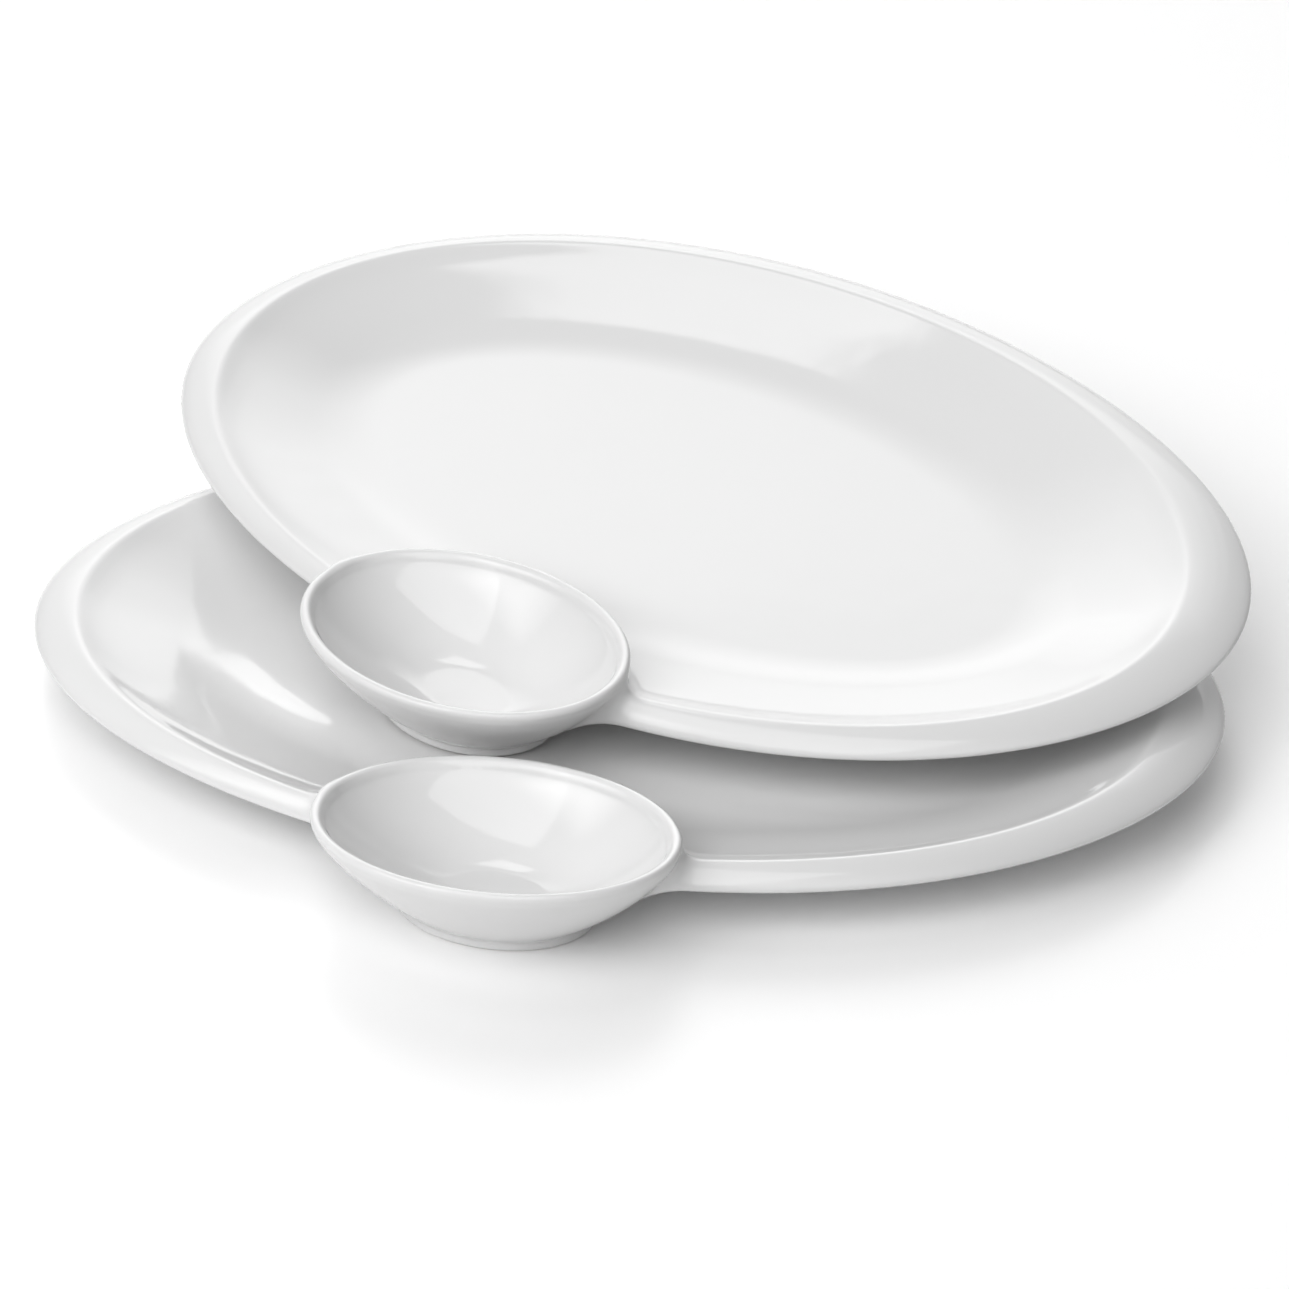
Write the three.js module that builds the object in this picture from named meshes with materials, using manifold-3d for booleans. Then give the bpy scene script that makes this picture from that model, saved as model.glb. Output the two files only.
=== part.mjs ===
// Chip and dip server, a stacked pair: two identical one-piece porcelain platters, each an oval
// well with a dip bowl grown into its front rim. Millimetres, +Z up, -Y is the bowl side.
// The lower server stands on its foot rings; the upper one leans on it, turned clockwise.
import * as THREE from "three";
import { mergeVertices } from "three/addons/utils/BufferGeometryUtils.js";
import Module from "manifold-3d";

// ---------------------------------------------------------------- driving dimensions
const PLATTER_HALF_LENGTH = 175;
const PLATTER_HALF_WIDTH = 115;
const OUTLINE_SKEW = { second: 0.006, fourth: 0.0073 }; // slight hand-drawn skew of the oval
const EDGE_HEIGHT = 15.6; // widest line of the rim
const EDGE_RADIUS = 1.6;
const RIM_FULLNESS = 1.4; // exponent of the outer face's section: 1 is a bevel, 2 a quarter oval

const CREST_HALF_LENGTH = 161;
const CREST_HALF_WIDTH = 106.8;
const CREST_CENTRE = { x: -2, y: -3.5 };
const CREST_HEIGHT = 21.1;
const CREST_ROUND = 2; // soft radius of the inner side of the crest

const WALL_STRAIGHT = 28; // width of the sloping wall
const WALL_BEND = 20; // width of the bend from the wall to the flat floor
const LIP_DROP = 1.4; // the wall starts steeper just inside the crest
const LIP_REACH = 4;
const WELL_FLOOR_HEIGHT = 9.2;

const FOOT_RING_OUTER = 0.6; // shares of the outline
const FOOT_RING_INNER = 0.565;
const FOOT_RING_DEPTH = 1.4;
const FOOT_RING_DRAFT = 0.01; // slant of the ring's two sides, as a share of the outline
const UNDERSIDE_FLAT_HEIGHT = 3.4;
const UNDERSIDE_CORNER = { share: 0.62, drop: 0.3 }; // soft corner between the ring and the flat
const UNDERSIDE_FLAT_END = 0.655;
const UNDERSIDE_RISE_END = 0.95;

const BOWL_CENTRE = { x: -1.3, y: -111.8 };
const BOWL_HALF_LENGTH = 51.6; // to the crown of the lip
const BOWL_HALF_WIDTH = 37;
const BOWL_TURN = -0.058;
const BOWL_RIM_HEIGHT = 27.3;
const BOWL_RIM_SLOPE = { x: 0.022, y: -0.052 }; // the rim plane tips up a little to the front
const BOWL_LIP_OUT = 1.4;
const BOWL_LIP_IN = 2.2;
const BOWL_FLOOR_HEIGHT = 5.5;
const BOWL_FOOT_HALF_LENGTH = 28.9;
const BOWL_FOOT_HALF_WIDTH = 21.4;
const BOWL_FOOT_HEIGHT = 2.9;
const BOWL_FOOT_TAPER = 0.5;
const BOWL_FOOT_ROUND = 0.7;
const BOWL_FOOT_RING = { width: 4, slant: 1.2, depth: 1.3 }; // the recess under the bowl
const BOWL_LIP_DROP = 1.4; // from the crown of the lip down to its widest line
const BOWL_ROUND = 0.28; // share of quarter oval in the bowl's sections, the rest is nearly a cone
const BELLY_POWER = 1.07;
const HOLLOW_POWER = 1.5;
const HOLLOW_FLOOR_HALF_LENGTH = 14;
const HOLLOW_FLOOR_HALF_WIDTH = 9;
const HOLLOW_TOP = 6; // the cutting shape runs this far above the lip

const UPPER_PLACE = { x: 2.2, y: 73.4, z: 20.75 };
const UPPER_TILT = { x: 0.083, y: 0.029, z: -0.343 };

const PLATTER_SEGMENTS = 64;
const BOWL_SEGMENTS = 40;

// ---------------------------------------------------------------- helpers
const wasm = await Module();
wasm.setup();

const mix = (a, b, t) => a + (b - a) * t;

// Closed surface through a stack of rings, from the pole below to the pole above. Each ring is a
// function of the angle that gives a point; the poles are the middles of the first and last ring.
function loft(rings, segments) {
  const positions = [];
  const indices = [];
  const middle = (points) =>
    points.reduce((sum, p) => sum.map((v, k) => v + p[k] / points.length), [0, 0, 0]);
  const stack = rings.map((ring) =>
    Array.from({ length: segments }, (_, i) => ring((2 * Math.PI * i) / segments)),
  );
  positions.push(...middle(stack[0]));
  stack.forEach((points) => points.forEach((p) => positions.push(...p)));
  positions.push(...middle(stack.at(-1)));
  const at = (ring, i) => 1 + ring * segments + (i % segments);
  const top = 1 + stack.length * segments;
  for (let i = 0; i < segments; i++) {
    indices.push(0, at(0, i + 1), at(0, i));
    indices.push(top, at(stack.length - 1, i), at(stack.length - 1, i + 1));
    for (let r = 0; r + 1 < stack.length; r++) {
      indices.push(at(r, i), at(r, i + 1), at(r + 1, i + 1));
      indices.push(at(r, i), at(r + 1, i + 1), at(r + 1, i));
    }
  }
  const geometry = new THREE.BufferGeometry();
  geometry.setAttribute("position", new THREE.Float32BufferAttribute(positions, 3));
  geometry.setIndex(indices);
  return geometry;
}

function toSolid(geometry) {
  const merged = mergeVertices(geometry, 1e-4);
  return new wasm.Manifold(
    new wasm.Mesh({
      numProp: 3,
      vertProperties: new Float32Array(merged.attributes.position.array),
      triVerts: new Uint32Array(merged.index.array),
    }),
  );
}

function toGeometry(solid) {
  const mesh = solid.getMesh();
  const geometry = new THREE.BufferGeometry();
  geometry.setAttribute("position", new THREE.Float32BufferAttribute(mesh.vertProperties, 3));
  geometry.setIndex(new THREE.Uint32BufferAttribute(mesh.triVerts, 1));
  geometry.computeVertexNormals();
  return geometry;
}

// ---------------------------------------------------------------- platter
function outlinePoint(angle, share = 1) {
  const { second, fourth } = OUTLINE_SKEW;
  const skew = 1 + second * Math.sin(2 * angle) + fourth * Math.sin(4 * angle);
  return [
    share * skew * PLATTER_HALF_LENGTH * Math.cos(angle),
    share * skew * PLATTER_HALF_WIDTH * Math.sin(angle),
  ];
}

// A point of the crest oval pulled in towards the middle by a fixed width.
function crestPoint(angle, inset = 0) {
  return [
    CREST_CENTRE.x + (CREST_HALF_LENGTH - inset) * Math.cos(angle),
    CREST_CENTRE.y + (CREST_HALF_WIDTH - inset) * Math.sin(angle),
  ];
}

const flatRing = (share, height) => (angle) => [...outlinePoint(angle, share), height];

// Underside height at a share of the outline: flat beyond the foot ring, then up to the edge.
function undersideHeight(share) {
  const rise = Math.max(0, (share - UNDERSIDE_FLAT_END) / (UNDERSIDE_RISE_END - UNDERSIDE_FLAT_END));
  const top = EDGE_HEIGHT - EDGE_RADIUS;
  return mix(UNDERSIDE_FLAT_HEIGHT, top, Math.min(1, rise));
}

// Rounded edge from the underside (0) up to the rim's widest line (1).
function edgeRing(turn) {
  const share = mix(UNDERSIDE_RISE_END, 1, Math.sin(turn * Math.PI * 0.5));
  return flatRing(share, EDGE_HEIGHT - EDGE_RADIUS * Math.cos(turn * Math.PI * 0.5));
}

// Outer face of the rim: a flattened quarter oval from the widest line (0) up to the crest (1).
function rimRing(turn) {
  const power = 2 / RIM_FULLNESS;
  const across = Math.max(0, Math.cos(turn * Math.PI * 0.5)) ** power;
  const inward = 1 - across;
  const height = mix(EDGE_HEIGHT, CREST_HEIGHT, Math.sin(turn * Math.PI * 0.5) ** power);
  return (angle) => {
    const [ox, oy] = outlinePoint(angle);
    const [cx, cy] = crestPoint(angle);
    return [mix(ox, cx, inward), mix(oy, cy, inward), height];
  };
}

// Height of the well's wall this far in from the rounded crest: a cone, then a bend to the floor.
function wallHeight(inset) {
  const run = Math.hypot(inset, CREST_ROUND) - CREST_ROUND;
  const slope = (CREST_HEIGHT - WELL_FLOOR_HEIGHT - LIP_DROP) / (WALL_STRAIGHT + WALL_BEND / 2);
  const bend = Math.min(WALL_BEND, Math.max(0, run - WALL_STRAIGHT));
  const cone = slope * (Math.min(run, WALL_STRAIGHT) + bend - bend ** 2 / (2 * WALL_BEND));
  return CREST_HEIGHT - cone - LIP_DROP * (1 - Math.exp(-run / LIP_REACH));
}

function wallRing(inset) {
  const height = wallHeight(inset);
  return (angle) => [...crestPoint(angle, inset), height];
}

function platterSolid() {
  const rings = [
    flatRing(FOOT_RING_INNER - FOOT_RING_DRAFT, FOOT_RING_DEPTH),
    flatRing(FOOT_RING_INNER, 0),
    flatRing(FOOT_RING_OUTER, 0),
    flatRing(FOOT_RING_OUTER + FOOT_RING_DRAFT, UNDERSIDE_FLAT_HEIGHT - UNDERSIDE_CORNER.drop),
  ];
  for (const share of [UNDERSIDE_CORNER.share, UNDERSIDE_FLAT_END, 0.75, 0.85, UNDERSIDE_RISE_END]) {
    rings.push(flatRing(share, undersideHeight(share)));
  }
  for (const turn of [0.5, 0.8]) rings.push(edgeRing(turn));
  for (const turn of [0, 0.2, 0.4, 0.6, 0.8, 1]) rings.push(rimRing(turn));
  for (const inset of [1.2, 3, 6, 12, 20, 30, 36, 43, 50]) rings.push(wallRing(inset));
  return toSolid(loft(rings, PLATTER_SEGMENTS));
}

// ---------------------------------------------------------------- dip bowl
// Ring of the bowl with the given half axes; the rim's slope fades out towards the foot.
function bowlRing(halfLength, halfWidth, height) {
  const cos = Math.cos(BOWL_TURN);
  const sin = Math.sin(BOWL_TURN);
  const fade = (height / BOWL_RIM_HEIGHT) ** 2;
  return (angle) => {
    const u = halfLength * Math.cos(angle);
    const v = halfWidth * Math.sin(angle);
    const x = u * cos - v * sin;
    const y = u * sin + v * cos;
    const slope = BOWL_RIM_SLOPE.x * x + BOWL_RIM_SLOPE.y * y;
    return [BOWL_CENTRE.x + x, BOWL_CENTRE.y + y, height + fade * slope];
  };
}

// Rise of the bowl's side at a share of the way out: a bent cone that stands upright at the lip.
function bowlRise(out, power) {
  return mix(out ** power, 1 - Math.sqrt(1 - out * out), BOWL_ROUND);
}

// Belly of the bowl from the top of the foot (0) out to the widest line of the lip (1).
function bellyRing(out) {
  return bowlRing(
    mix(BOWL_FOOT_HALF_LENGTH - BOWL_FOOT_TAPER, BOWL_HALF_LENGTH + BOWL_LIP_OUT, out),
    mix(BOWL_FOOT_HALF_WIDTH - BOWL_FOOT_TAPER, BOWL_HALF_WIDTH + BOWL_LIP_OUT, out),
    mix(BOWL_FOOT_HEIGHT, BOWL_RIM_HEIGHT - BOWL_LIP_DROP, bowlRise(out, BELLY_POWER)),
  );
}

// Side of the hollow from the edge of its flat floor (0) out to the lip (1).
function hollowRing(out) {
  return bowlRing(
    mix(HOLLOW_FLOOR_HALF_LENGTH, BOWL_HALF_LENGTH - BOWL_LIP_IN, out),
    mix(HOLLOW_FLOOR_HALF_WIDTH, BOWL_HALF_WIDTH - BOWL_LIP_IN, out),
    mix(BOWL_FLOOR_HEIGHT, BOWL_RIM_HEIGHT - BOWL_LIP_DROP, bowlRise(out, HOLLOW_POWER)),
  );
}

// Round of the lip from its widest line (0) to its crown (1), reaching out by the given width, or
// in towards the hollow if the width is negative.
function lipRing(turn, reach) {
  const grow = reach * Math.cos(turn * Math.PI * 0.5);
  const drop = BOWL_LIP_DROP * (1 - Math.sin(turn * Math.PI * 0.5));
  return bowlRing(BOWL_HALF_LENGTH + grow, BOWL_HALF_WIDTH + grow, BOWL_RIM_HEIGHT - drop);
}

function bowlOuterSolid() {
  const { width, slant, depth } = BOWL_FOOT_RING;
  const foot = (inset, height) =>
    bowlRing(BOWL_FOOT_HALF_LENGTH - inset, BOWL_FOOT_HALF_WIDTH - inset, height);
  const rings = [foot(width + slant, depth), foot(width, 0)];
  rings.push(foot(BOWL_FOOT_ROUND, 0), foot(0, BOWL_FOOT_ROUND));
  for (const out of [0, 0.25, 0.5, 0.7, 0.85, 0.95, 1]) rings.push(bellyRing(out));
  for (const turn of [0.5, 1]) rings.push(lipRing(turn, BOWL_LIP_OUT));
  return toSolid(loft(rings, BOWL_SEGMENTS));
}

// The hollow of the bowl, from its flat floor up past the lip.
function bowlHollowSolid() {
  const rings = [0, 0.15, 0.3, 0.5, 0.7, 0.85, 0.95, 1].map(hollowRing);
  const crown = 0.8; // where the lip's inner round meets the upright side above it
  for (const turn of [0.5, crown]) rings.push(lipRing(turn, -BOWL_LIP_IN));
  const inset = BOWL_LIP_IN * Math.cos(crown * Math.PI * 0.5);
  rings.push(
    bowlRing(BOWL_HALF_LENGTH - inset, BOWL_HALF_WIDTH - inset, BOWL_RIM_HEIGHT + HOLLOW_TOP),
  );
  return toSolid(loft(rings, BOWL_SEGMENTS));
}

// ---------------------------------------------------------------- the two servers
const serverSolid = platterSolid().add(bowlOuterSolid()).subtract(bowlHollowSolid());
const serverGeometry = toGeometry(serverSolid);

function makeServer(name) {
  const porcelain = new THREE.MeshStandardMaterial({
    color: 0xf4f4f2,
    roughness: 0.12,
    metalness: 0,
  });
  const mesh = new THREE.Mesh(serverGeometry, porcelain);
  mesh.name = name;
  return mesh;
}

const lowerServer = makeServer("lower_server");
const upperServer = makeServer("upper_server");
upperServer.position.set(UPPER_PLACE.x, UPPER_PLACE.y, UPPER_PLACE.z);
upperServer.rotation.set(UPPER_TILT.x, UPPER_TILT.y, UPPER_TILT.z, "ZYX");

const pair = new THREE.Group();
pair.add(lowerServer, upperServer);

// The origin is the middle of the pair's footprint, on the surface it stands on.
pair.updateMatrixWorld(true);
const footprint = new THREE.Box3().setFromObject(pair, true);
const middle = footprint.getCenter(new THREE.Vector3());
pair.position.set(-middle.x, -middle.y, -footprint.min.z);

export default pair;
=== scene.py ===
"""The stacked pair of porcelain chip and dip servers: fine meshes, glaze, floor, light and camera."""
import math

import bpy
import numpy as np
import openvdb
from mathutils import Euler, Matrix, Vector


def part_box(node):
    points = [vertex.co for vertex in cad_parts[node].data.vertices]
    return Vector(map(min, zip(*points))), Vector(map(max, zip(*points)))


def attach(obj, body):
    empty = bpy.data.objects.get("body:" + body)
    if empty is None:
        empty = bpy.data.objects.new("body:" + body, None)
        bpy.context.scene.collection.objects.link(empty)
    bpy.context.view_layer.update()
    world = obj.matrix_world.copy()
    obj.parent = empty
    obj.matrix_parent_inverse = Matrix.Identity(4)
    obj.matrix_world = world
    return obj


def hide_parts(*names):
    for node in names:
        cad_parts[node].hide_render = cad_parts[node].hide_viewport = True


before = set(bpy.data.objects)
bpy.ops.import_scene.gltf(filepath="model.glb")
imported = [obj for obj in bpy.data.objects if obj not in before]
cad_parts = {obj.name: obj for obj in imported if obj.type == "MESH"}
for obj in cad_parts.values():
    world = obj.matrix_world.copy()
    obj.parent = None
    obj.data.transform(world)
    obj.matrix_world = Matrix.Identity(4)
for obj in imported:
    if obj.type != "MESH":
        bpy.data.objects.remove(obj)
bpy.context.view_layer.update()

MM = 0.001

# ---------------------------------------------------------------- the server's dimensions, mm
PLATTER_HALF_LENGTH = 175
PLATTER_HALF_WIDTH = 115
OUTLINE_SKEW_SECOND = 0.006
OUTLINE_SKEW_FOURTH = 0.0073
EDGE_HEIGHT = 15.6
EDGE_RADIUS = 1.6  # height of the round under the widest line
RIM_FULLNESS = 1.4  # exponent of the outer face's oval section: 1 is a bevel, 2 a quarter oval

CREST_HALF_LENGTH = 161
CREST_HALF_WIDTH = 106.8
CREST_CENTRE = (-2, -3.5)
CREST_HEIGHT = 21.1
CREST_ROUND = 2.0

WALL_STRAIGHT = 28
WALL_BEND = 20
LIP_DROP = 1.4  # the wall starts steeper just inside the crest
LIP_REACH = 4.0
WELL_FLOOR_HEIGHT = 9.2

# the underside: "share" means a share of the outline
RECESS_MIDDLE_SHARE = 0.2
FOOT_RING_INNER = 0.565
FOOT_RING_OUTER = 0.6
FOOT_RING_DEPTH = 1.4
FOOT_RING_DRAFT = 0.01  # slant of the ring's two sides, as a share
FOOT_RING_ROUND = (0.003, 0.3)  # small round of its edges: share and height
UNDERSIDE_CORNER = (0.022, 0.6)  # soft corner from the ring to the flat: share and drop
UNDERSIDE_FLAT_HEIGHT = 3.4
UNDERSIDE_FLAT_END = 0.655
UNDERSIDE_RISE_START = 0.66
UNDERSIDE_RISE_END = 0.95
EDGE_ROUND_START = 0.982

BOWL_CENTRE = (-1.3, -111.8)
BOWL_HALF_LENGTH = 51.6
BOWL_HALF_WIDTH = 37
BOWL_TURN = -0.058
BOWL_RIM_HEIGHT = 27.3
BOWL_RIM_SLOPE = (0.022, -0.052)
BOWL_LIP_OUT = 1.4
BOWL_LIP_IN = 2.2
BOWL_FLOOR_HEIGHT = 5.5
BOWL_FOOT_HALF_LENGTH = 28.9
BOWL_FOOT_HALF_WIDTH = 21.4
BOWL_FOOT_HEIGHT = 2.9
BOWL_FOOT_TAPER = 0.5
# inset and height of the bowl foot's rings, from its recess over its round edges to its side
BOWL_FOOT_SECTION = ((5.2, 1.3), (4.3, 0.2), (4, 0), (0.9, 0), (0.35, 0.15), (0, 0.7), (0.3, 1.8))
BOWL_LIP_DROP = 1.4  # from the crown of the lip down to its widest line
BOWL_ROUND = 0.28  # share of quarter oval in the bowl's sections, the rest is nearly a cone
BELLY_POWER = 1.07
HOLLOW_POWER = 1.5
HOLLOW_FLOOR_HALF_LENGTH = 14
HOLLOW_FLOOR_HALF_WIDTH = 9
HOLLOW_TOPS = (0, 4, 8)  # rings of the cutting shape from the lip up
HOLLOW_FLARE = 0.05  # mm wider per mm of height there

UPPER_PLACE = Vector((2.2, 73.4, 20.75))
UPPER_TILT = Euler((0.083, 0.029, -0.343), "XYZ")  # matrix Rz Ry Rx

FILLET = 8.0  # reach of the soft join between rim and bowl
LIP_ROUND = 2.6  # reach of the round between the bowl's lip and its hollow
VOXEL = 0.6
BAND = FILLET + 2  # distances are kept this far from the surface
BLOCK_LOW = (-190, -165, -8)  # corners of the block of voxels around one server
BLOCK_HIGH = (190, 130, 40)
SURFACE_STEPS = 2  # steps that move a point on to the surface
LEAST_SLOPE = 0.05  # keeps such a step short where the distance field is flat
TRIANGLES = 190000

# ---------------------------------------------------------------- looks; the lights are in metres
GLAZE_LEVEL = 0.735  # how much light the glaze gives back, the same for every colour
GLAZE_SPREAD = 0.015  # share by which its tone wanders
GLAZE_ROUGHNESS = (0.04, 0.075)
GLAZE_IOR = 1.52
GLAZE_RIPPLE = 0.00004  # metres
BODY_TONES = ((0.72, 0.05), (0.8, 0.035))  # level and warmth
BODY_ROUGHNESS = (0.7, 0.9)
BODY_GRAIN = 0.00012  # metres
# noise scales, per metre
TONE_NOISE = 16
GLOSS_NOISE = 35
RIPPLE_NOISE = 85
BODY_ROUGHNESS_NOISE = 600
BODY_TONE_NOISE = 900
BODY_GRAIN_NOISE = 1500
BARE_TO_GLAZED = (0.28, 0.42)  # mm above the plate's base plane: below it the porcelain is wiped bare

FLOOR_HALF = 6.0  # half of its side
FLOOR_LEVEL = 0.95
FLOOR_ROUGHNESS = 0.32

# name, place, aim, size (metres), power (watts), share of the size over which its edge fades out
SOFTBOXES = (
    ("front softbox", (-0.25, -1.1, 1.5), (0, 0, 0), (1.6, 1.7), 14.2, 0),
    ("left softbox", (-1.3, -1.2, 1.2), (0, 0, 0), (1.2, 1.0), 13.7, 0.5),
    ("back softbox", (-0.5, 1.7, 1.2), (0, 0, 0), (1.4, 0.9), 7.0, 0.5),
    ("top softbox", (-0.48, 0.47, 1.5), (-0.75, 0.04, 0), (0.44, 0.4), 1.5, 0.12),
)
# azimuth and elevation in degrees, strength
GLOWS = (
    (105, 12, 2.05),
    (140, 38, 0.57),
    (180, 38, 0.48),
    (260, 38, 0.84),
    (300, 38, 1.17),
    (90, 62, 0.26),
    (0, 90, 0.21),
)
GLOW_FOCUS = 10  # a larger one makes narrower glows
SOFTBOX_FADE_STEPS = (-0.9, -0.45, 0, 0.45, 0.9)
SOFTBOX_LAYER_GAP = 0.01

CAMERA_AZIMUTH = 0.3053  # radians, to the right of the front
CAMERA_ELEVATION = 0.5394
CAMERA_DISTANCE = 1.984
CAMERA_AIM = (0.0053, 0.0038, 0.02)  # from the plate's centre
CAMERA_SENSOR = 36  # mm
CAMERA_LENS = 191.9255  # mm
CAMERA_CLIP = 50  # metres

# ---------------------------------------------------------------- lofted solids


def mix(a, b, t):
    return a + (b - a) * t


def loft(rings):
    """Triangles of the closed surface through a stack of rings (an array of ring, point, xyz)."""
    count, around, _ = rings.shape
    poles = [rings[0].mean(0), rings[-1].mean(0)]
    points = np.vstack([poles[0], rings.reshape(-1, 3), poles[1]])
    i = np.arange(around)
    j = (i + 1) % around
    bottom = np.stack([np.zeros_like(i), 1 + j, 1 + i], 1)
    last = 1 + (count - 1) * around
    top = np.stack([np.full_like(i, len(points) - 1), last + i, last + j], 1)
    faces = [bottom, top]
    for ring in range(count - 1):
        low = 1 + ring * around
        high = low + around
        faces.append(np.stack([low + i, low + j, high + j], 1))
        faces.append(np.stack([low + i, high + j, high + i], 1))
    return points, np.vstack(faces)


def outline(angle, share=1.0):
    """Widest line of the platter, or the same oval at a share of its size."""
    skew = 1 + OUTLINE_SKEW_SECOND * np.sin(2 * angle) + OUTLINE_SKEW_FOURTH * np.sin(4 * angle)
    x = share * skew * PLATTER_HALF_LENGTH * np.cos(angle)
    y = share * skew * PLATTER_HALF_WIDTH * np.sin(angle)
    return np.stack([x, y], 1)


def crest(angle, inset=0.0):
    """Top line of the rim, or an oval this far inside it."""
    x = CREST_CENTRE[0] + (CREST_HALF_LENGTH - inset) * np.cos(angle)
    y = CREST_CENTRE[1] + (CREST_HALF_WIDTH - inset) * np.sin(angle)
    return np.stack([x, y], 1)


def at_height(flat, height):
    """Ring of xyz points from a flat outline."""
    return np.column_stack([flat, np.full(len(flat), height)])


def underside_height(share):
    """Height of the underside at a share of the outline: flat, then a straight rise to the edge."""
    rise = max(0.0, (share - UNDERSIDE_FLAT_END) / (UNDERSIDE_RISE_END - UNDERSIDE_FLAT_END))
    return mix(UNDERSIDE_FLAT_HEIGHT, EDGE_HEIGHT - EDGE_RADIUS, min(1.0, rise))


def wall_height(inset):
    """Height of the well's wall this far in from the rounded crest: a cone, then a bend to the floor."""
    run = math.hypot(inset, CREST_ROUND) - CREST_ROUND
    slope = (CREST_HEIGHT - WELL_FLOOR_HEIGHT - LIP_DROP) / (WALL_STRAIGHT + WALL_BEND / 2)
    bend = min(WALL_BEND, max(0.0, run - WALL_STRAIGHT))
    cone = slope * (min(run, WALL_STRAIGHT) + bend - bend**2 / (2 * WALL_BEND))
    return CREST_HEIGHT - cone - LIP_DROP * (1 - math.exp(-run / LIP_REACH))


def platter_rings(around=720):
    """Rings of the platter from the middle of its underside over the rim to the well's floor."""
    angle = np.linspace(0, 2 * math.pi, around, endpoint=False)
    round_share, round_height = FOOT_RING_ROUND
    corner_share, corner_drop = UNDERSIDE_CORNER
    # recess, foot ring with small rounds, and the step up to the underside
    section = [
        (RECESS_MIDDLE_SHARE, FOOT_RING_DEPTH),
        (FOOT_RING_INNER - FOOT_RING_DRAFT, FOOT_RING_DEPTH),
        (FOOT_RING_INNER - round_share, round_height),
        (FOOT_RING_INNER, 0),
        (FOOT_RING_OUTER, 0),
        (FOOT_RING_OUTER + round_share, round_height),
        (FOOT_RING_OUTER + FOOT_RING_DRAFT, UNDERSIDE_FLAT_HEIGHT - corner_drop),
        (FOOT_RING_OUTER + corner_share, UNDERSIDE_FLAT_HEIGHT),
    ]
    for share in np.linspace(UNDERSIDE_RISE_START, UNDERSIDE_RISE_END, 24):
        section.append((share, underside_height(share)))
    for turn in np.linspace(0, 1, 10):
        share = mix(EDGE_ROUND_START, 1, math.sin(turn * math.pi / 2))
        section.append((share, EDGE_HEIGHT - EDGE_RADIUS * math.cos(turn * math.pi / 2)))
    rings = [at_height(outline(angle, share), height) for share, height in section]
    for turn in np.linspace(0.04, 1, 28):
        inward = 1 - max(0.0, math.cos(turn * math.pi / 2)) ** (2 / RIM_FULLNESS)
        height = mix(EDGE_HEIGHT, CREST_HEIGHT, math.sin(turn * math.pi / 2) ** (2 / RIM_FULLNESS))
        rings.append(at_height(mix(outline(angle), crest(angle), inward), height))
    for run in np.linspace(0, 1, 70)[1:] ** 1.5:
        inset = run * (WALL_STRAIGHT + WALL_BEND + CREST_ROUND)
        rings.append(at_height(crest(angle, inset), wall_height(inset)))
    return np.array(rings)


def bowl_ring(angle, half_length, half_width, height):
    """Oval of the bowl at a height; the higher, the more it leans with the plane of the lip."""
    u = half_length * np.cos(angle)
    v = half_width * np.sin(angle)
    x = u * math.cos(BOWL_TURN) - v * math.sin(BOWL_TURN)
    y = u * math.sin(BOWL_TURN) + v * math.cos(BOWL_TURN)
    fade = (height / BOWL_RIM_HEIGHT) ** 2
    z = height + fade * (BOWL_RIM_SLOPE[0] * x + BOWL_RIM_SLOPE[1] * y)
    return np.stack([BOWL_CENTRE[0] + x, BOWL_CENTRE[1] + y, z], 1)


def bowl_section(out, power):
    """Rise of the bowl's side at a share of the way out: a bent cone, upright at the lip."""
    return mix(out**power, 1 - math.sqrt(max(0.0, 1 - out * out)), BOWL_ROUND)


def bowl_outer_rings(around=480):
    """Rings of the bowl's outside, from the recess under its foot up over the lip."""
    angle = np.linspace(0, 2 * math.pi, around, endpoint=False)

    def foot(inset, height):
        return bowl_ring(angle, BOWL_FOOT_HALF_LENGTH - inset, BOWL_FOOT_HALF_WIDTH - inset, height)

    def lip(grow, drop):
        return bowl_ring(angle, BOWL_HALF_LENGTH + grow, BOWL_HALF_WIDTH + grow, BOWL_RIM_HEIGHT - drop)

    rings = [foot(inset, height) for inset, height in BOWL_FOOT_SECTION]
    for out in np.linspace(0, 1, 40):
        length = mix(BOWL_FOOT_HALF_LENGTH - BOWL_FOOT_TAPER, BOWL_HALF_LENGTH + BOWL_LIP_OUT, out)
        width = mix(BOWL_FOOT_HALF_WIDTH - BOWL_FOOT_TAPER, BOWL_HALF_WIDTH + BOWL_LIP_OUT, out)
        height = mix(BOWL_FOOT_HEIGHT, BOWL_RIM_HEIGHT - BOWL_LIP_DROP, bowl_section(out, BELLY_POWER))
        rings.append(bowl_ring(angle, length, width, height))
    for turn in np.linspace(0.12, 1, 8):
        grow = BOWL_LIP_OUT * math.cos(turn * math.pi / 2)
        rings.append(lip(grow, BOWL_LIP_DROP - BOWL_LIP_DROP * math.sin(turn * math.pi / 2)))
    return np.array(rings)


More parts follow.
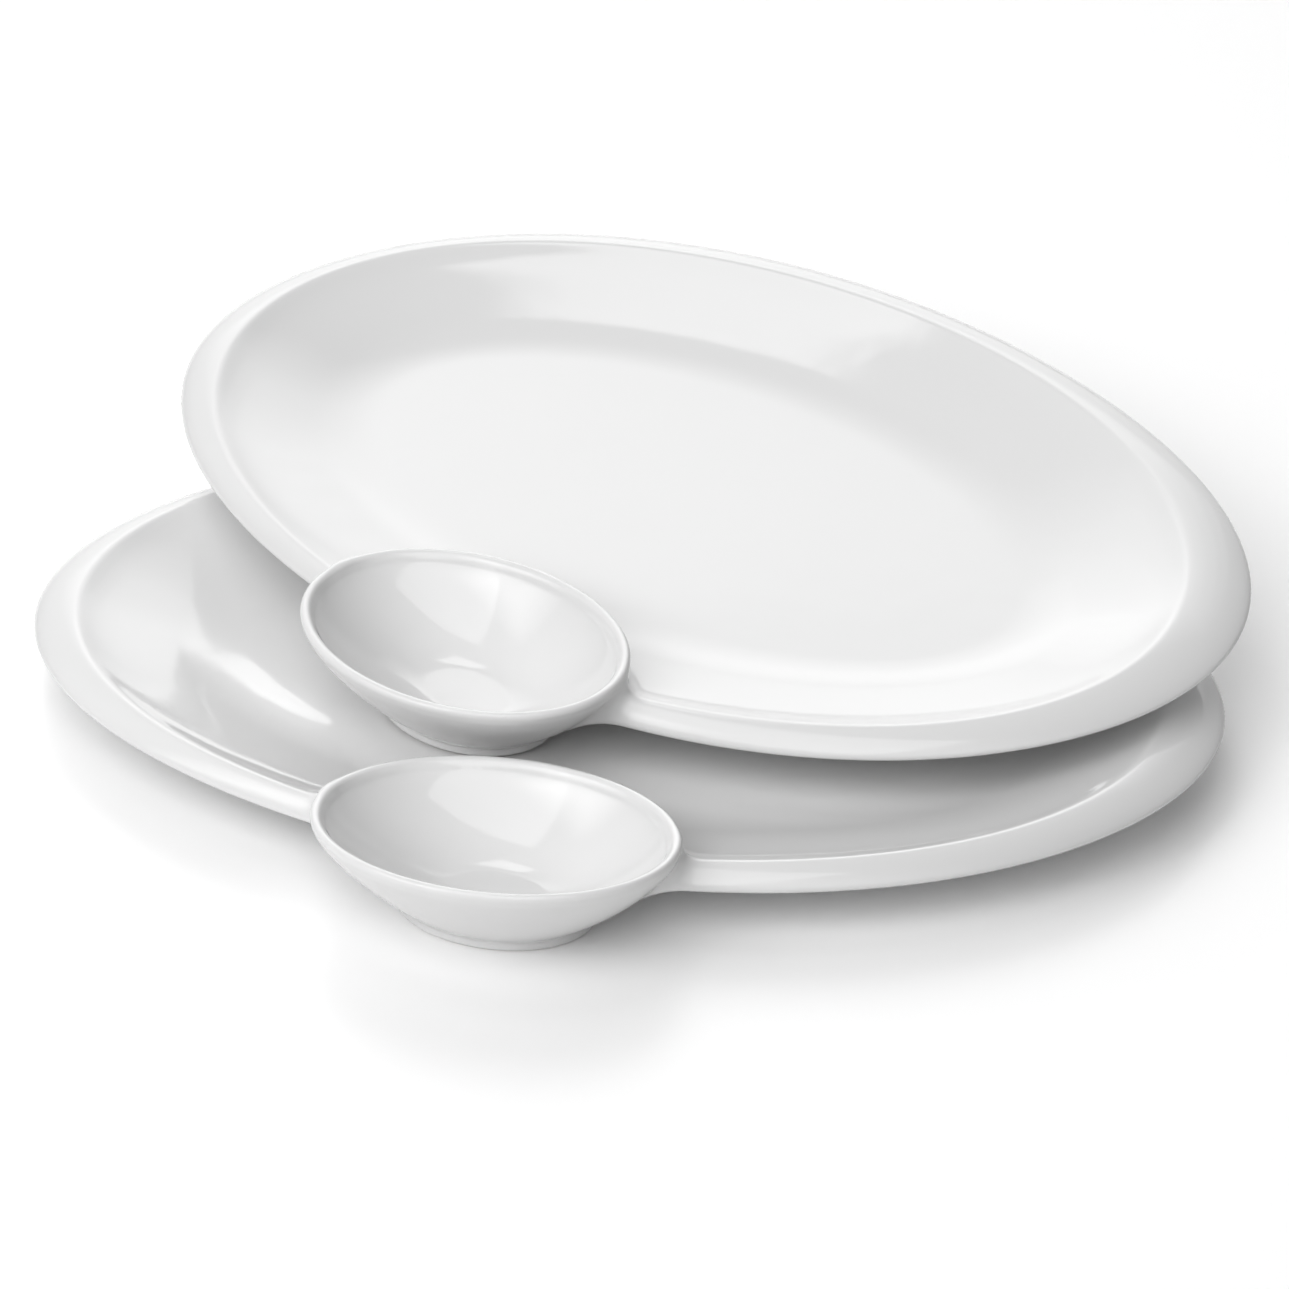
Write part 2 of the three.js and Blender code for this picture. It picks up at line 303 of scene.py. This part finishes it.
def bowl_hollow_rings(around=480):
    """Rings of the shape that cuts the bowl's hollow, from its floor to above the lip."""
    angle = np.linspace(0, 2 * math.pi, around, endpoint=False)
    rings = []
    for out in np.linspace(0, 1, 44):
        length = mix(HOLLOW_FLOOR_HALF_LENGTH, BOWL_HALF_LENGTH - BOWL_LIP_IN, out)
        width = mix(HOLLOW_FLOOR_HALF_WIDTH, BOWL_HALF_WIDTH - BOWL_LIP_IN, out)
        height = mix(BOWL_FLOOR_HEIGHT, BOWL_RIM_HEIGHT - BOWL_LIP_DROP, bowl_section(out, HOLLOW_POWER))
        rings.append(bowl_ring(angle, length, width, height))
    for rise in HOLLOW_TOPS:
        length = BOWL_HALF_LENGTH - BOWL_LIP_IN + HOLLOW_FLARE * rise
        width = BOWL_HALF_WIDTH - BOWL_LIP_IN + HOLLOW_FLARE * rise
        rings.append(bowl_ring(angle, length, width, BOWL_RIM_HEIGHT + rise))
    return np.array(rings)


# ---------------------------------------------------------------- distance fields


def distance_field(rings, low, shape):
    """Signed distance to a lofted solid, in mm, on a block of voxels; it's cut off at the band."""
    points, faces = loft(rings)
    voxels = openvdb.createLinearTransform(voxelSize=VOXEL)
    grid = openvdb.FloatGrid.createLevelSetFromPolygons(
        points, triangles=faces.astype(np.uint32), transform=voxels, halfWidth=BAND / VOXEL
    )
    block = np.full(shape, BAND, np.float32)
    grid.copyToArray(block, ijk=tuple(int(v) for v in low))
    return block


def smooth_min(a, b, reach):
    """The smaller of two distances, with a soft join where they differ by less than the reach."""
    overlap = np.maximum(reach - np.abs(a - b), 0) / reach
    return np.minimum(a, b) - overlap**2 * (reach / 4)


def server_field():
    """Distances around one whole server, and the index of the block's first voxel."""
    low = np.floor(np.array(BLOCK_LOW) / VOXEL).astype(int)
    high = np.ceil(np.array(BLOCK_HIGH) / VOXEL).astype(int)
    shape = tuple(int(v) for v in high - low)
    platter = distance_field(platter_rings(), low, shape)
    bowl = distance_field(bowl_outer_rings(), low, shape)
    hollow = distance_field(bowl_hollow_rings(), low, shape)
    whole = smooth_min(platter, bowl, FILLET)
    return -smooth_min(-whole, hollow, LIP_ROUND), low


def sample(block, low, points):
    """Value of a block of voxels at points in mm, by trilinear interpolation."""
    local = points / VOXEL - low
    cell = np.clip(np.floor(local).astype(int), 0, np.array(block.shape) - 2)
    t = local - cell
    value = np.zeros(len(points))
    for c in np.ndindex(2, 2, 2):
        w = np.where(np.array(c) == 1, t, 1 - t).prod(1)
        value += block[cell[:, 0] + c[0], cell[:, 1] + c[1], cell[:, 2] + c[2]] * w
    return value


def to_surface(points, block, slopes, low):
    """Move points on to the zero surface; returns them with the surface normals there."""
    for _ in range(SURFACE_STEPS):
        slope = np.stack([sample(s, low, points) for s in slopes], 1)
        size = np.maximum((slope**2).sum(1), LEAST_SLOPE)
        points = points - slope * (sample(block, low, points) / size)[:, None]
    slope = np.stack([sample(s, low, points) for s in slopes], 1)
    return points, slope / np.linalg.norm(slope, axis=1)[:, None]


def thinned(mesh, triangles):
    """The mesh with its flat parts in fewer, larger triangles."""
    helper = bpy.data.objects.new("helper", mesh)
    bpy.context.scene.collection.objects.link(helper)
    thin = helper.modifiers.new("thin", "DECIMATE")
    thin.ratio = triangles / (2 * len(mesh.polygons))
    graph = bpy.context.evaluated_depsgraph_get()
    result = bpy.data.meshes.new_from_object(helper.evaluated_get(graph))
    bpy.data.objects.remove(helper)
    return result


def server_mesh():
    """Mesh of one server in its own plate frame, in metres."""
    block, low = server_field()
    slopes = [s.astype(np.float32) for s in np.gradient(block, VOXEL)]
    grid = openvdb.FloatGrid(10.0)
    grid.copyFromArray(block, ijk=tuple(int(v) for v in low), tolerance=0)
    points, _, quads = grid.convertToPolygons(isovalue=0.0, adaptivity=0.0)
    points, _ = to_surface(np.array(points, float) * VOXEL, block, slopes, low)
    dense = bpy.data.meshes.new("dense")
    dense.from_pydata((points * MM).tolist(), [], quads.tolist())
    mesh = thinned(dense, TRIANGLES)
    points = np.empty(3 * len(mesh.vertices), np.float32)
    mesh.vertices.foreach_get("co", points)
    points, normals = to_surface(points.reshape(-1, 3) / MM, block, slopes, low)
    mesh.vertices.foreach_set("co", (points * MM).astype(np.float32).ravel())
    height = mesh.attributes.new("plate_height", "FLOAT", "POINT")
    height.data.foreach_set("value", points[:, 2].astype(np.float32))
    mesh.validate()
    mesh.polygons.foreach_set("use_smooth", [True] * len(mesh.polygons))
    mesh.normals_split_custom_set_from_vertices(normals.tolist())
    print("server mesh", len(dense.polygons), "quads, thinned to", len(mesh.polygons), "faces")
    return mesh


# ---------------------------------------------------------------- materials


class Shading:
    """Short names for the nodes of one material, whose textures all lie in the piece's own metres."""

    def __init__(self, name):
        self.material = bpy.data.materials.new(name)
        self.material.use_nodes = True
        self.nodes = self.material.node_tree.nodes
        self.links = self.material.node_tree.links
        self.shader = self.nodes["Principled BSDF"]
        self.place = self.nodes.new("ShaderNodeTexCoord").outputs["Object"]

    def noise(self, scale, detail=2.0):
        node = self.nodes.new("ShaderNodeTexNoise")
        node.inputs["Scale"].default_value = scale
        node.inputs["Detail"].default_value = detail
        self.links.new(self.place, node.inputs["Vector"])
        return node.outputs["Fac"]

    def remap(self, value, start, end, low, high):
        node = self.nodes.new("ShaderNodeMapRange")
        self.links.new(value, node.inputs["Value"])
        for name, number in (("From Min", start), ("From Max", end), ("To Min", low), ("To Max", high)):
            node.inputs[name].default_value = number
        return node.outputs["Result"]

    def attribute(self, name):
        node = self.nodes.new("ShaderNodeAttribute")
        node.attribute_name = name
        return node.outputs["Fac"]

    def blend(self, share, first, second, kind="RGBA"):
        """First and second are sockets or plain values; the share goes from the first to the second."""
        node = self.nodes.new("ShaderNodeMix")
        node.data_type = kind
        sockets = [s for s in node.inputs if s.type == ("RGBA" if kind == "RGBA" else "VALUE")]
        if kind == "FLOAT":
            sockets = sockets[1:]
        self.links.new(share, node.inputs["Factor"])
        for socket, value in zip(sockets, (first, second)):
            if isinstance(value, bpy.types.NodeSocket):
                self.links.new(value, socket)
            else:
                socket.default_value = value
        return next(s for s in node.outputs if s.enabled)

    def bump(self, height, depth, before=None):
        node = self.nodes.new("ShaderNodeBump")
        node.inputs["Strength"].default_value = 1.0
        node.inputs["Distance"].default_value = depth
        self.links.new(height, node.inputs["Height"])
        if before is not None:
            self.links.new(before, node.inputs["Normal"])
        return node.outputs["Normal"]

    def connect(self, socket, name):
        self.links.new(socket, self.shader.inputs[name])


def grey(level, warmth=0.0):
    """A grey, or a cream where the warmth takes some of its blue."""
    return (level, level * (1 - warmth * 0.5), level * (1 - warmth), 1)


def porcelain_material():
    """White glaze with a faint unevenness; the foot rings are wiped bare and show the matt body."""
    look = Shading("glazed porcelain")
    bare = look.remap(look.attribute("plate_height"), *BARE_TO_GLAZED, 1, 0)
    darker, lighter = GLAZE_LEVEL * (1 - GLAZE_SPREAD), GLAZE_LEVEL * (1 + GLAZE_SPREAD)
    glaze = look.blend(look.noise(TONE_NOISE), grey(darker), grey(lighter))
    body = look.blend(look.noise(BODY_TONE_NOISE), grey(*BODY_TONES[0]), grey(*BODY_TONES[1]))
    look.connect(look.blend(bare, glaze, body), "Base Color")
    gloss = look.remap(look.noise(GLOSS_NOISE), 0.3, 0.7, *GLAZE_ROUGHNESS)
    matt = look.remap(look.noise(BODY_ROUGHNESS_NOISE), 0, 1, *BODY_ROUGHNESS)
    look.connect(look.blend(bare, gloss, matt, "FLOAT"), "Roughness")
    ripple = look.bump(look.noise(RIPPLE_NOISE, 1.0), GLAZE_RIPPLE)
    grain = look.nodes.new("ShaderNodeMath")
    grain.operation = "MULTIPLY"
    look.links.new(bare, grain.inputs[0])
    look.links.new(look.noise(BODY_GRAIN_NOISE), grain.inputs[1])
    look.connect(look.bump(grain.outputs[0], BODY_GRAIN, ripple), "Normal")
    look.shader.inputs["IOR"].default_value = GLAZE_IOR
    return look.material


# ---------------------------------------------------------------- pieces
# the plate's own frame has the platter's centre at its origin; the row's frame lies beside it in y
shift_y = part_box("lower_server")[1].y - PLATTER_HALF_WIDTH * MM
plate_origin = Matrix.Translation((0, shift_y, 0))


def place(name, mesh, matrix, node):
    """A visible piece that stands for a CAD node and rides with it."""
    piece = bpy.data.objects.new(name, mesh)
    bpy.context.scene.collection.objects.link(piece)
    mesh.transform(matrix)
    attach(piece, node)
    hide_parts(node)


server = server_mesh()
server.materials.append(porcelain_material())
upper_matrix = plate_origin @ Matrix.Translation(UPPER_PLACE * MM) @ UPPER_TILT.to_matrix().to_4x4()
place("upper_porcelain", server.copy(), upper_matrix, "upper_server")
place("lower_porcelain", server, plate_origin, "lower_server")


# ---------------------------------------------------------------- floor, light and camera


def make_floor():
    corners = [(x * FLOOR_HALF, y * FLOOR_HALF, 0) for x, y in ((-1, -1), (1, -1), (1, 1), (-1, 1))]
    mesh = bpy.data.meshes.new("floor")
    mesh.from_pydata(corners, [], [(0, 1, 2, 3)])
    floor = bpy.data.objects.new("floor", mesh)
    bpy.context.scene.collection.objects.link(floor)
    look = Shading("floor white")
    look.shader.inputs["Base Color"].default_value = grey(FLOOR_LEVEL)
    look.shader.inputs["Roughness"].default_value = FLOOR_ROUGHNESS
    mesh.materials.append(look.material)


def softbox(name, place, target, size, power, fade):
    """A rectangular light; a fading edge is made of rectangles of several sizes, one behind another."""
    scales = [1 + fade * step for step in SOFTBOX_FADE_STEPS] if fade else [1]
    forward = (Vector(target) - Vector(place)).normalized()
    for layer, scale in enumerate(scales):
        light = bpy.data.lights.new(f"{name} {layer}", "AREA")
        light.shape = "RECTANGLE"
        light.size = size[0] * scale
        light.size_y = size[1] * scale
        light.energy = power * scale**2 / sum(s**2 for s in scales)
        lamp = bpy.data.objects.new(light.name, light)
        bpy.context.scene.collection.objects.link(lamp)
        lamp.location = Vector(place) - forward * (SOFTBOX_LAYER_GAP * layer)
        lamp.rotation_euler = forward.to_track_quat("-Z", "Y").to_euler()


def add_glow(nodes, links, direction, azimuth, elevation, strength):
    """Socket with a soft round glow of the studio wall, brightest towards this direction (degrees)."""
    level = math.cos(math.radians(elevation))
    centre = (
        level * math.cos(math.radians(azimuth)),
        level * math.sin(math.radians(azimuth)),
        math.sin(math.radians(elevation)),
    )
    along = nodes.new("ShaderNodeVectorMath")
    along.operation = "DOT_PRODUCT"
    along.inputs[1].default_value = centre
    links.new(direction, along.inputs[0])
    value = along.outputs["Value"]
    for operation, number in (("MAXIMUM", 0.0), ("POWER", GLOW_FOCUS), ("MULTIPLY", strength)):
        step = nodes.new("ShaderNodeMath")
        step.operation = operation
        step.inputs[1].default_value = number
        links.new(value, step.inputs[0])
        value = step.outputs[0]
    return value


def make_lights():
    """Softboxes around and overhead, and pale studio walls with soft round glows."""
    for lamp in SOFTBOXES:
        softbox(*lamp)
    world = bpy.data.worlds.new("studio")
    bpy.context.scene.world = world
    world.use_nodes = True
    nodes = world.node_tree.nodes
    links = world.node_tree.links
    direction = nodes.new("ShaderNodeTexCoord").outputs["Generated"]
    total = None
    for glow in GLOWS:
        value = add_glow(nodes, links, direction, *glow)
        if total is not None:
            add = nodes.new("ShaderNodeMath")
            add.operation = "ADD"
            links.new(total, add.inputs[0])
            links.new(value, add.inputs[1])
            value = add.outputs[0]
        total = value
    nodes["Background"].inputs["Color"].default_value = (1, 1, 1, 1)
    links.new(total, nodes["Background"].inputs["Strength"])


def make_camera():
    """A long lens in front, a little to the right, looking down on the pair."""
    level = math.cos(CAMERA_ELEVATION)
    back = Vector(
        (math.sin(CAMERA_AZIMUTH) * level, -math.cos(CAMERA_AZIMUTH) * level, math.sin(CAMERA_ELEVATION))
    )
    aim = Vector(CAMERA_AIM) + Vector((0, shift_y, 0))
    camera = bpy.data.objects.new("camera", bpy.data.cameras.new("camera"))
    bpy.context.scene.collection.objects.link(camera)
    camera.location = aim + back * CAMERA_DISTANCE
    camera.rotation_euler = (-back).to_track_quat("-Z", "Y").to_euler()
    camera.data.lens = CAMERA_LENS
    camera.data.sensor_width = CAMERA_SENSOR
    camera.data.clip_end = CAMERA_CLIP
    bpy.context.scene.camera = camera


make_floor()
make_lights()
make_camera()
bpy.context.scene.view_settings.view_transform = "Standard"
